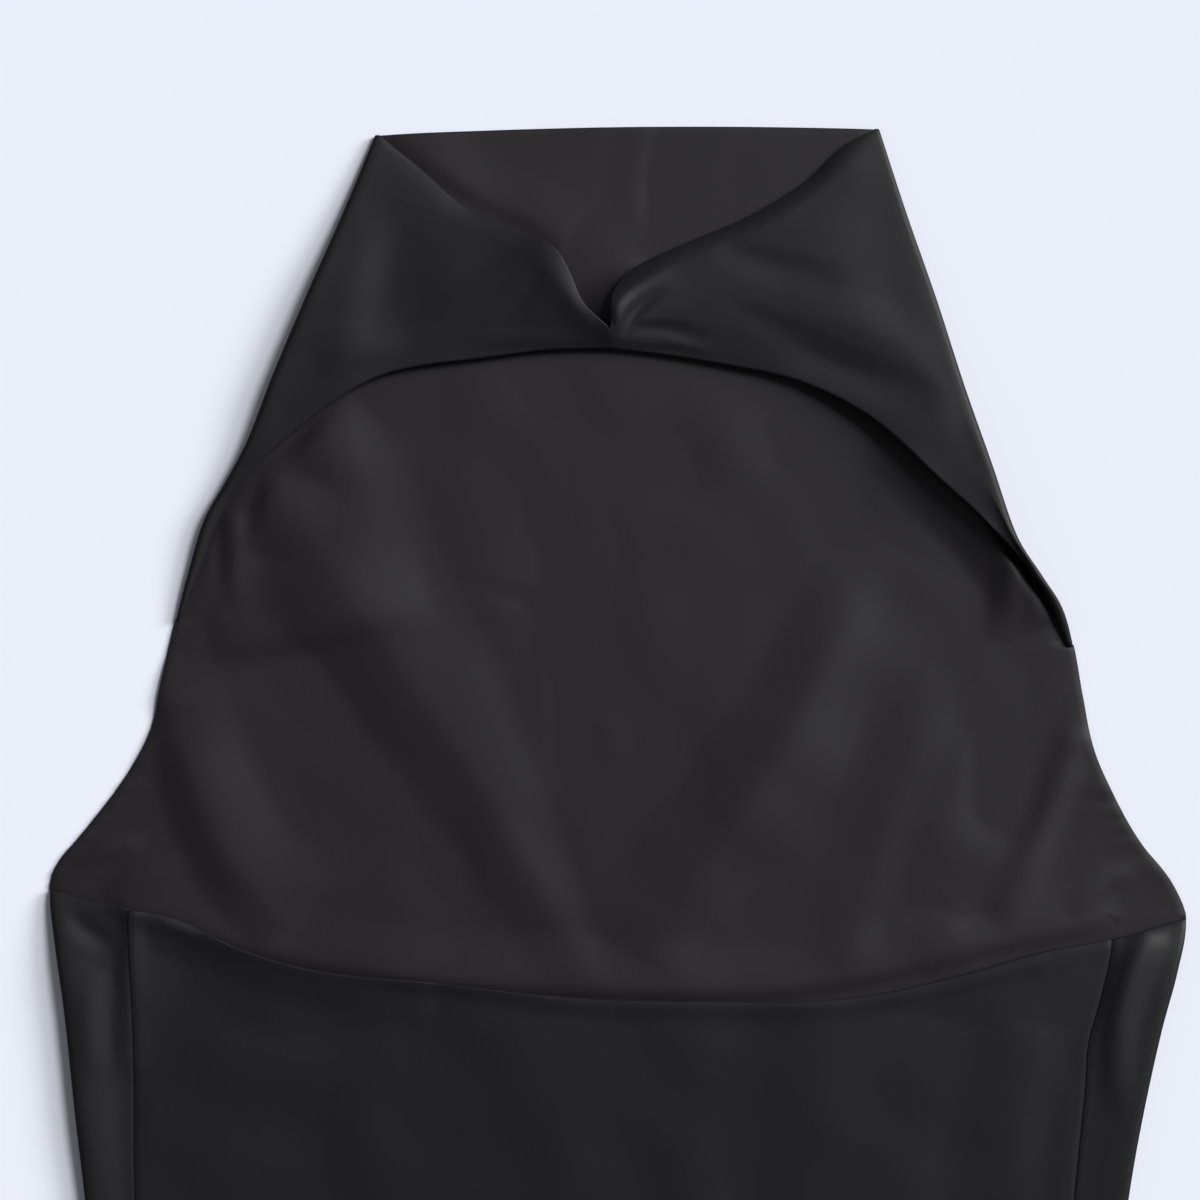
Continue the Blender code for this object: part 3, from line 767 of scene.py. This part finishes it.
def lay_of(points: np.ndarray, start: np.ndarray, sign: float) -> np.ndarray:
    """Places on the flat cloth.

    Args:
        points: a grid of points, whose rows run away from the start.
        start: where each row starts on the flat cloth.
        sign: 1 where the rows run to the right, and -1 where they run to the left.

    Returns:
        For each point the start plus or minus the length run so far along its row, and its y.
    """
    step = np.linalg.norm(np.diff(points, axis=1), axis=2)
    run = np.concatenate([np.zeros((len(points), 1)), np.cumsum(step, axis=1)], axis=1)
    return np.stack([start[:, None] + sign * run, points[..., 1]], axis=-1)


@dataclass(frozen=True)
class DressFront:
    """The front: the layer on the floor, its turned sides, the halter ends and seam strips."""

    columns: int = 138
    halter_columns: int = 46
    turn_steps: int = 8
    turn_squareness: float = 0.25
    turn_depth: float = 2.4
    strip_columns: int = 10
    row_steps: tuple[tuple[float, float], ...] = ((0.0, 2.2), (-330.0, 4.0), (-424.0, 12.0))
    flattens_at_side: float = 7.0
    flattens_under_back: float = 26.0
    pucker: float = 0.5
    pucker_length: float = 9.5
    pucker_reach: float = 9.0
    pucker_drift: float = 0.13
    pucker_drift_length: float = 17.0
    puckers_from: float = -196.0
    puckers_grow_in: float = 20.0
    puckers_to: float = -290.0
    puckers_fade_in: float = 12.0
    neck_round: float = 7.0
    settles_within: float = 0.14
    arch_hurry: float = 0.7
    stretch_rounds: int = 1500
    halter_waves_from: float = 300.0
    strip_step: float = 0.4
    strip_settles_within: float = 0.15
    flat_width: float = 0.544
    flat_length: float = 1.150
    flat_area: float = 0.526

    def floor(self, plan: DressPlan) -> np.ndarray:
        """The upper face of the layer that lies on the floor, as a grid of rows and columns.

        x runs evenly from one side to the other, and y between the two sides' heights with the
        row's bow. The height is the lift plus the creases and the slight waves, which sink to
        nothing where a side turns over and under the back.

        Args:
            plan: the rows and the outline.

        Returns:
            The grid of its points.
        """
        left_x, left_y, left_turn = plan.side(Side.LEFT)
        right_x, right_y, right_turn = plan.side(Side.RIGHT)
        share = np.linspace(0, 1, self.columns + 1)[None, :]
        start = (left_x + self.depth(left_turn))[:, None]
        end = (right_x - self.depth(right_turn))[:, None]
        x = start + (end - start) * share
        y = left_y[:, None] * (1 - share) + right_y[:, None] * share
        y = y + plan.bow[:, None] * 4 * share * (1 - share)
        height = relief(FRONT_CREASES + HOLLOW_CREASES, x, y) + WAVES.at(x, y) + WAVES.height
        turned = (left_turn > 0)[:, None]
        inwards = np.minimum(x - start, end - x)
        height = height * np.where(turned, ease(inwards / self.flattens_at_side), 1.0)
        edge_y = np.interp(share, *np.array(BACK_EDGE).T)
        height = height * ease((y - edge_y + self.flattens_under_back) / self.flattens_under_back)
        return np.stack([x, y, FLOOR_LIFT + np.maximum(height, 0)], axis=-1)

    def depth(self, turn: np.ndarray) -> np.ndarray:
        """How far inside the outline a side turns over: half its height, up to a full depth."""
        return np.minimum(turn / 2, self.turn_depth)

    def puckers(self, points: np.ndarray, plan: DressPlan) -> np.ndarray:
        """Small waves along the two free armhole edges.

        Args:
            points: the lower layer's grid.
            plan: the rows and the outline.

        Returns:
            The heights to add: a raised sine of y, whose length drifts by another sine, times
            a bell of the distance from the edge, between the turned side and the underarm.
        """
        x, y = points[..., 0], points[..., 1]
        total = np.zeros_like(x)
        armhole = ease((self.puckers_from - y) / self.puckers_grow_in)
        armhole = armhole * ease((y - self.puckers_to) / self.puckers_fade_in)
        for side in Side:
            edge = plan.side(side)[0][:, None]
            inwards = np.abs(x - edge)
            drift = self.pucker_drift * np.sin(y / self.pucker_drift_length)
            phase = y * (1 + drift) / self.pucker_length
            wave = 0.5 + 0.5 * np.sin(2 * np.pi * phase + side.value)
            total += wave * np.exp(-((inwards / self.pucker_reach) ** 2))
        return self.pucker * total * armhole

    def turn(self, x: np.ndarray, y: np.ndarray, turn: np.ndarray, sign: int) -> np.ndarray:
        """The half round by which the cloth turns over at a side, as columns from the floor up.

        Its points are the round's centre plus (the depth times a power of the sine outwards,
        minus half the height times the cosine upwards) for angles from nothing to half a turn.
        The power makes it squarer than an ellipse, as a fold is.

        Args:
            x: the outline's x at each row.
            y: its y.
            turn: how high the cloth stands there.
            sign: -1 for the left side and 1 for the right one.

        Returns:
            The grid of its points, from the lower layer to the upper one.
        """
        angle = np.pi * np.arange(self.turn_steps + 1) / self.turn_steps
        depth = self.depth(turn)[:, None]
        centre_x = x[:, None] - sign * depth
        height = turn[:, None] / 2 * (1 - np.cos(angle))
        height = height + FLOOR_LIFT * (1 - height / np.maximum(turn[:, None], TINY))
        across = centre_x + sign * depth * np.abs(np.sin(angle)) ** self.turn_squareness
        along = np.repeat(y[:, None], self.turn_steps + 1, axis=1)
        return np.stack([across, along, height], axis=-1)

    def halter(self, end: HalterEnd, edge: np.ndarray, turn: np.ndarray) -> np.ndarray:
        """One halter end, stretched between the turned side, its two long edges and the knot.

        It starts as a Coons patch: the blend of the two long edges, plus the blend of the two
        short ones, minus the blend of the four corners. Its inner points are then stretched,
        and the creases of the front and of this end are added to its height.

        Args:
            end: the halter end.
            edge: the plan of the turned side's last column.
            turn: how high the cloth stands at each point of that column.

        Returns:
            The grid of its points, from the turned side to the knot.
        """
        count = self.halter_columns + 1
        share = np.linspace(0, 1, count)
        along = [row.along for row in end.clearances]
        neck_height, arch_height = (
            2 * SOLID_WALL + smooth(along, [getattr(row, name) for row in end.clearances], share)
            for name in ("neck_edge", "arch_edge")
        )
        neck = curve_through([edge[0], *end.neck_edge, KNOT[0]], count)
        arch = curve_through([edge[-1], *end.arch_edge, KNOT[1]], count, self.arch_hurry)
        neck = np.column_stack([neck, neck_height])[None]
        arch = np.column_stack([arch, arch_height])[None]
        run = np.concatenate([[0], np.cumsum(np.linalg.norm(np.diff(edge, axis=0), axis=1))])
        u, v = share[None, :, None], (run / run[-1])[:, None, None]
        side = np.column_stack([edge, turn])[:, None]
        knot = neck[:, -1:] * (1 - v) + arch[:, -1:] * v
        corners = (1 - u) * ((1 - v) * side[:1] + v * side[-1:]) + u * knot
        patch = (1 - v) * neck + v * arch + (1 - u) * side + u * knot - corners
        patch[0], patch[-1] = neck, arch
        patch = stretch(patch, self.stretch_rounds)
        x, y, height = patch[..., 0], patch[..., 1], patch[..., 2]
        own = relief(LEFT_CREASES if end.side is Side.LEFT else RIGHT_CREASES, x, y)
        own = own + WAVES.at(x + self.halter_waves_from, y)
        own = own + self.neck_roll(patch, end.neck_drop)
        lowest = 2 * SOLID_WALL + LAYER_GAP
        leaving = ease(share / self.settles_within)[None, :]
        height = np.maximum(height + own * leaving, np.minimum(height, lowest))
        return np.stack([x, y, height + relief(FRONT_CREASES, x, y) * leaving], axis=-1)

    def neck_roll(self, patch: np.ndarray, drop: float) -> np.ndarray:
        """How the padded neck edge of a halter end bends down: its drop times the squared share
        of the way that is left to the edge.

        Args:
            patch: the halter end as a grid, whose first row is its neck edge.
            drop: how far the edge bends down.

        Returns:
            The heights to add, which are never above nothing.
        """
        step = np.linalg.norm(np.diff(patch, axis=0), axis=2)
        run = np.concatenate([np.zeros((1, patch.shape[1])), np.cumsum(step, axis=0)])
        return -drop * np.clip(1 - run / self.neck_round, 0, 1) ** 2

    def strip(self, edge: np.ndarray, turn: np.ndarray, side: Side) -> np.ndarray:
        """The narrow strip on top, from the turned side to half a gap from the side seam.

        Its height goes by a smoothstep from the turned side's to the back's, and its own
        creases die away at both of its long edges.

        Args:
            edge: the plan of the turned side's last column.
            turn: how high the cloth stands at each point of that column.
            side: which side.

        Returns:
            The grid of its points, from the turned side to the seam.
        """
        share = np.linspace(0, 1, self.strip_columns + 1)[None, :]
        y = edge[:, 1]
        outline_x = edge[:, 0] + side.value * self.depth(turn)
        seam_x = outline_x - side.value * (seam_inset(y, side) - SEAM_GAP / 2)
        seam_y = rows_below(BACK_EDGE[0][1] if side is Side.LEFT else BACK_EDGE[-1][1], y)
        x = edge[:, :1] * (1 - share) + seam_x[:, None] * share
        y = y[:, None] * (1 - share) + seam_y[:, None] * share
        at_seam = back_height(np.full_like(x, float(side is Side.RIGHT)), x, y)
        at_seam = at_seam + self.strip_step * side.value
        inner = ease(share / self.strip_settles_within)
        inner = inner * ease((1 - share) / self.strip_settles_within)
        own = relief(STRIP_CREASES, x, y) * inner
        height = turn[:, None] * (1 - ease(share)) + at_seam * ease(share) + own
        return np.stack([x, y, height], axis=-1)

    def build(self, to_row: float) -> bpy.types.Object:
        """Builds the whole front as one closed thin wall.

        Args:
            to_row: what is added to y to come from the dress to the row frame.

        Returns:
            The front's object.
        """
        plan = DressPlan(self.row_steps)
        shell = ClothShell("front_cloth", CLOTH)
        floor = self.floor(plan)
        floor[..., 2] += self.puckers(floor, plan)
        lay = np.stack([floor[..., 0], floor[..., 1]], axis=-1)
        numbers = shell.add_grid(floor, lay, turned=True)
        knot = None
        for end in HALTER_ENDS:
            sign = end.side.value
            x, y, turn = plan.side(end.side)
            turned = self.turn(x, y, turn, sign)
            edge = turned[:, -1, :2]
            column = 0 if end.side is Side.LEFT else -1
            halter = self.halter(end, edge[plan.halter], turn[plan.halter])
            strip = self.strip(edge[plan.strip], turn[plan.strip], end.side)
            for rows, top, last in ((plan.halter, halter, knot), (plan.strip, strip, None)):
                grid = np.concatenate([turned[rows], top[:, 1:]], axis=1)
                grid[:, 0] = floor[rows, column]
                lay = lay_of(grid, floor[rows, column, 0], sign)
                own = shell.add_grid(grid, lay, numbers[rows, column], last, turned=sign > 0)
                knot = own[:, -1] if top is halter else knot
        piece = shell.build(to_row)
        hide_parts("front")
        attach(piece, BODY)
        return piece


@dataclass(frozen=True)
class DressBack:
    """The back, from its curved upper edge to the hem, between the two side seams."""

    columns: int = 150
    row_steps: tuple[tuple[float, float], ...] = ((0.0, 2.2), (-424.0, 11.0))
    edge_puff: float = 0.08
    edge_puff_at: float = 4.0
    edge_puff_reach: float = 2.6
    waves_from: float = -500.0
    waves_grow_in: float = 6.0
    flat_width: float = 0.466
    flat_length: float = 0.860
    flat_area: float = 0.349

    def surface(self, plan: DressPlan) -> np.ndarray:
        """The back's outer face as a grid of rows and columns.

        x runs evenly between the seams. y follows the curved upper edge in the first row and
        levels out below it, and dips to the hem's middle at the bottom. The height is the
        back's, plus a bell a little below the upper edge, plus the slight waves.

        Args:
            plan: the rows and the outline.

        Returns:
            The grid of its points.
        """
        left_x, left_y, _ = plan.side(Side.LEFT)
        right_x, right_y, _ = plan.side(Side.RIGHT)
        rows = plan.strip
        left_x, left_y, right_x, right_y = (a[rows] for a in (left_x, left_y, right_x, right_y))
        share = np.linspace(0, 1, self.columns + 1)[None, :]
        start = left_x + seam_inset(left_y, Side.LEFT) + SEAM_GAP / 2
        end = right_x - seam_inset(right_y, Side.RIGHT) - SEAM_GAP / 2
        x = start[:, None] * (1 - share) + end[:, None] * share
        edge = smooth(*np.array(BACK_EDGE).T, share)
        level = left_y[:, None] * (1 - share) + right_y[:, None] * share
        down = (level[:1] - level) / (level[:1] - level[-1:])
        y = rows_below(edge, level) - HEM_DIP * 4 * share * (1 - share) * down**4
        below = (y[:1] - y - self.edge_puff_at) / self.edge_puff_reach
        puff = self.edge_puff * np.exp(-(below**2))
        inwards = np.minimum(x - start[:, None], end[:, None] - x)
        waves = WAVES.at(x + self.waves_from, y) + WAVES.height
        waves = waves * ease(inwards / self.waves_grow_in)
        return np.stack([x, y, back_height(share, x, y) + puff + waves], axis=-1)

    def build(self, to_row: float) -> bpy.types.Object:
        """Builds the back as one closed thin wall.

        Args:
            to_row: what is added to y to come from the dress to the row frame.

        Returns:
            The back's object.
        """
        plan = DressPlan(self.row_steps)
        shell = ClothShell("back_cloth", CLOTH)
        surface = self.surface(plan)
        shell.add_grid(surface, surface[..., :2])
        piece = shell.build(to_row)
        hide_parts("back")
        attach(piece, BODY)
        return piece


@dataclass(frozen=True)
class Satin:
    """Black satin: a dark ground with a soft wide sheen, and a fine weave as a bump.

    The ground goes from its colour to a paler one by the sum of a cloudy noise and of long thin
    slubs, which also make the finish a little rougher and smoother. Scales are per metre."""

    name: str
    colour: tuple[float, float, float]
    pale_colour: tuple[float, float, float]
    roughness: float
    specular: float
    sheen: float = 0.02
    sheen_roughness: float = 0.4
    thread: float = 0.00045
    thread_stretch: float = 0.35
    cloud_scale: tuple[float, float, float] = (9.0, 7.0, 9.0)
    cloud_range: tuple[float, float] = (0.35, 0.7)
    cloud_share: float = 0.8
    slub_scale: tuple[float, float, float] = (900.0, 60.0, 1.0)
    slub_range: tuple[float, float] = (0.35, 0.75)
    slub_share: float = 0.2
    shine_range: tuple[float, float] = (0.3, 0.7)
    shine_change: float = 0.012
    weave_strength: float = 0.10
    weave_height: float = 0.00008

    def material(self) -> bpy.types.Material:
        """The node material, whose patterns follow the cloth's own map.

        Returns:
            The new material.
        """
        material = bpy.data.materials.new(self.name)
        material.use_nodes = True
        nodes, links = material.node_tree.nodes, material.node_tree.links
        shader = nodes["Principled BSDF"]
        shader.inputs["Specular IOR Level"].default_value = self.specular
        shader.inputs["Sheen Weight"].default_value = self.sheen
        shader.inputs["Sheen Roughness"].default_value = self.sheen_roughness
        uv = nodes.new("ShaderNodeUVMap")
        uv.uv_map = "cloth"

        def noise(scale: tuple[float, float, float], **values: float) -> bpy.types.NodeSocket:
            """A noise over the cloth's map.

            Args:
                scale: how many of its waves a metre has each way.
                values: other inputs of the noise by name.

            Returns:
                The noise's strength.
            """
            mapping = nodes.new("ShaderNodeMapping")
            mapping.inputs["Scale"].default_value = scale
            links.new(uv.outputs["UV"], mapping.inputs["Vector"])
            node = nodes.new("ShaderNodeTexNoise")
            links.new(mapping.outputs["Vector"], node.inputs["Vector"])
            for name, value in {"Scale": 1.0, **values}.items():
                node.inputs[name].default_value = value
            return node.outputs["Fac"]

        def ramp(
            source: bpy.types.NodeSocket, reach: tuple[float, float], start: float, end: float
        ) -> bpy.types.NodeSocket:
            """A value that runs evenly from start to end.

            Args:
                source: what it follows.
                reach: the source's values at the start and at the end.
                start: the value at the start.
                end: the value at the end.

            Returns:
                The new value.
            """
            node = nodes.new("ShaderNodeMapRange")
            settings = zip(("From Min", "From Max", "To Min", "To Max"), (*reach, start, end))
            for name, value in settings:
                node.inputs[name].default_value = value
            links.new(source, node.inputs["Value"])
            return node.outputs["Result"]

        cloud = noise(self.cloud_scale, Detail=3.0)
        slub = noise(self.slub_scale, Detail=2.0)
        grain = noise((1 / self.thread, self.thread_stretch / self.thread, 1))
        tone = nodes.new("ShaderNodeMix")
        tone.data_type = "RGBA"
        tone.inputs["A"].default_value = (*self.colour, 1)
        tone.inputs["B"].default_value = (*self.pale_colour, 1)
        both = nodes.new("ShaderNodeMath")
        both.operation = "ADD"
        links.new(ramp(cloud, self.cloud_range, 0.0, self.cloud_share), both.inputs[0])
        links.new(ramp(slub, self.slub_range, 0.0, self.slub_share), both.inputs[1])
        links.new(both.outputs["Value"], tone.inputs["Factor"])
        links.new(tone.outputs["Result"], shader.inputs["Base Color"])
        shiny, dull = self.roughness - self.shine_change, self.roughness + self.shine_change
        links.new(ramp(slub, self.shine_range, shiny, dull), shader.inputs["Roughness"])
        bump = nodes.new("ShaderNodeBump")
        bump.inputs["Strength"].default_value = self.weave_strength
        bump.inputs["Distance"].default_value = self.weave_height
        links.new(grain, bump.inputs["Height"])
        links.new(bump.outputs["Normal"], shader.inputs["Normal"])
        return material


@dataclass(frozen=True)
class PlainFinish:
    """An even finish with no pattern."""

    name: str
    colour: tuple[float, float, float]
    roughness: float
    specular: float

    def material(self) -> bpy.types.Material:
        """The node material.

        Returns:
            The new material.
        """
        material = bpy.data.materials.new(self.name)
        material.use_nodes = True
        shader = material.node_tree.nodes["Principled BSDF"]
        shader.inputs["Base Color"].default_value = (*self.colour, 1)
        shader.inputs["Roughness"].default_value = self.roughness
        shader.inputs["Specular IOR Level"].default_value = self.specular
        return material


# One black satin in two copies. The dress is self-lined with the same satin. Its inner face, which
# is the inside of the front seen through the open back, is painted paler and given a little more
# specular shine than the outer face. This is painted light standing in for the brighter sheen
# there.
OUTER_FACE = Satin(
    "black_satin", (0.0040, 0.0036, 0.0050), (0.0052, 0.0047, 0.0064), 0.54, 0.27
)
INNER_FACE_PAINTED_PALER = Satin(
    "black_satin_lining_painted_paler", (0.0080, 0.0064, 0.0088), (0.0098, 0.0080, 0.0108), 0.54, 0.31
)
PALE_FLOOR = PlainFinish("pale_floor", (0.80, 0.83, 0.92), 0.9, 0.1)


@dataclass(frozen=True)
class Window:
    """A far soft light: its place in the studio's sky and its width, in degrees, and how bright
    it makes a flat white floor."""

    name: str
    azimuth: float
    elevation: float
    width: float
    on_floor: float

    def build(self) -> None:
        """Adds the light, whose strength is pi times the brightness that it gives the floor, over
        the sine of its elevation."""
        data = bpy.data.lights.new(self.name, "SUN")
        data.angle = math.radians(self.width)
        data.energy = math.pi * self.on_floor / math.sin(math.radians(self.elevation))
        light = bpy.data.objects.new(self.name, data)
        turn, rise = math.radians(self.azimuth), math.radians(self.elevation)
        towards = Vector(
            (math.cos(turn) * math.cos(rise), math.sin(turn) * math.cos(rise), math.sin(rise))
        )
        light.rotation_euler = towards.to_track_quat("Z", "Y").to_euler()
        bpy.context.scene.collection.objects.link(light)


WINDOWS = (
    Window("high_window", 33.0, 50.0, 20.0, 0.50),
    Window("side_window", 22.0, 27.0, 24.0, 0.37),
)


@dataclass(frozen=True)
class Studio:
    """The pale floor, the soft light and the camera over the dress."""

    view_middle: tuple[float, float] = (-6.7, -172.6)
    view_side: float = 444.0
    roll: float = 1.10
    camera_height: float = 1.20
    sensor: float = 36.0
    room_colour: tuple[float, float, float] = (0.95, 0.97, 1.0)
    room_light: float = 0.17
    floor_side: float = 6.0

    def floor(self) -> None:
        """Adds the plain pale floor that the dress lies on."""
        half = self.floor_side / 2
        corners = np.array([[-half, -half, 0], [half, -half, 0], [half, half, 0], [-half, half, 0]])
        floor = mesh_object("studio_floor", corners, np.array([[0, 1, 2, 3]]))
        floor.data.materials.append(PALE_FLOOR.material())

    def build(self, to_row: float) -> None:
        """Sets the floor, the lights, the world and the camera.

        Args:
            to_row: what is added to y to come from the dress to the row frame, in millimetres.
        """
        self.floor()
        x, y = self.view_middle
        middle = Vector((x * MM, (y + to_row) * MM, 0.0))
        for window in WINDOWS:
            window.build()
        world = bpy.data.worlds.new("studio")
        world.use_nodes = True
        background = world.node_tree.nodes["Background"]
        background.inputs["Color"].default_value = (*self.room_colour, 1)
        background.inputs["Strength"].default_value = self.room_light
        scene = bpy.context.scene
        scene.world = world
        scene.view_settings.view_transform = "Standard"
        camera_data = bpy.data.cameras.new("overhead_camera")
        camera_data.sensor_width = self.sensor
        camera_data.lens = self.sensor * self.camera_height / (self.view_side * MM)
        camera = bpy.data.objects.new("overhead_camera", camera_data)
        camera.location = middle + Vector((0, 0, self.camera_height))
        camera.rotation_euler = (0, 0, math.radians(self.roll))
        scene.collection.objects.link(camera)
        scene.camera = camera


def main() -> None:
    """Builds the dress, dresses it in satin, and sets the studio around it."""
    logging.basicConfig(level=logging.INFO, format="%(name)s: %(message)s")
    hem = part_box("front")[0].y / MM
    to_row = hem - HEM_Y
    # The second material is the satin painted paler, as painted light, for the inner faces.
    faces = (OUTER_FACE.material(), INNER_FACE_PAINTED_PALER.material())
    for part in (DressFront(), DressBack()):
        piece = part.build(to_row)
        for material in faces:
            piece.data.materials.append(material)
        LOG.info("%s: %d faces", piece.name, len(piece.data.polygons))
    Studio().build(to_row)


if __name__ == "__main__":
    main()
